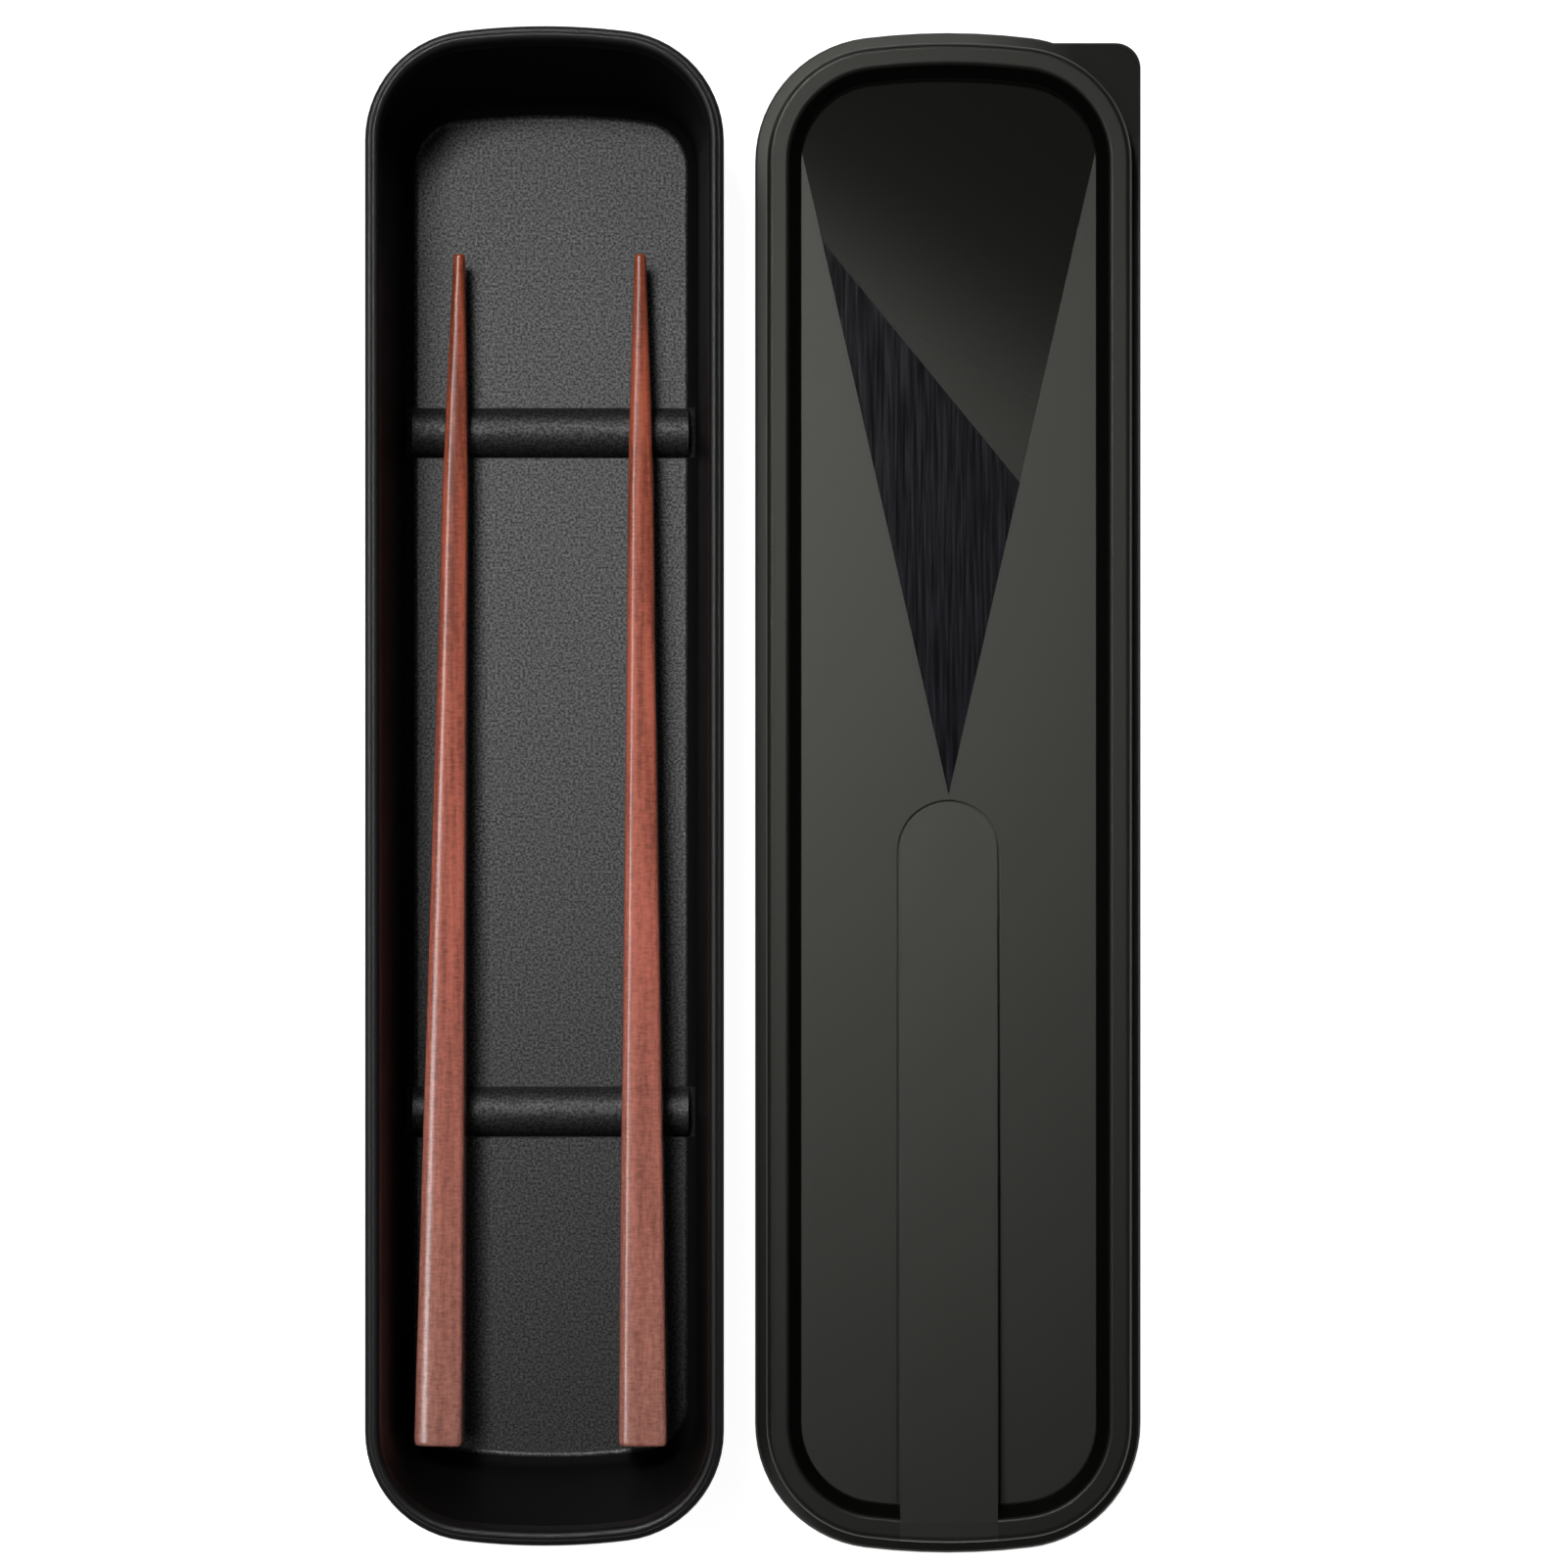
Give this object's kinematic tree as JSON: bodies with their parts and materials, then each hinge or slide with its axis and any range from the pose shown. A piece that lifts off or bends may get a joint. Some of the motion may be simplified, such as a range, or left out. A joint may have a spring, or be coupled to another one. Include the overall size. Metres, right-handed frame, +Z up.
{
  "type": "travel cutlery box",
  "caption": "Travel cutlery box: a deep rounded tray with rests for chopsticks and a push-on lid with a corner pull tab.",
  "frame": {"origin": "under the middle of the tray and lid as they lie side by side, on the surface they stand on", "axes": "+Y runs along the box towards the chopstick tips, +X from the tray to the lid, +Z up"},
  "size_m": [0.1216, 0.2422, 0.027],
  "materials": {
    "tray_plastic": "spark-textured satin",
    "lid_plastic": "fine matt, polished in the arrow",
    "stained_wood": "oiled satin"
  },
  "bodies": {
    "tray": {"tray": "tray_plastic"},
    "lid": {"lid": "lid_plastic"},
    "chopstick_left": {"chopstick_left": "stained_wood"},
    "chopstick_right": {"chopstick_right": "stained_wood"}
  },
  "joints": [
    {"name": "lid_lift", "type": "slide", "parent": "tray", "child": "lid", "axis": [0, 0, 1], "range_m": [0, 0.045]},
    {"name": "chopstick_left_lift", "type": "slide", "parent": "tray", "child": "chopstick_left", "axis": [0, 0, 1], "range_m": [0, 0.035]},
    {"name": "chopstick_right_lift", "type": "slide", "parent": "tray", "child": "chopstick_right", "axis": [0, 0, 1], "range_m": [0, 0.035]}
  ]
}
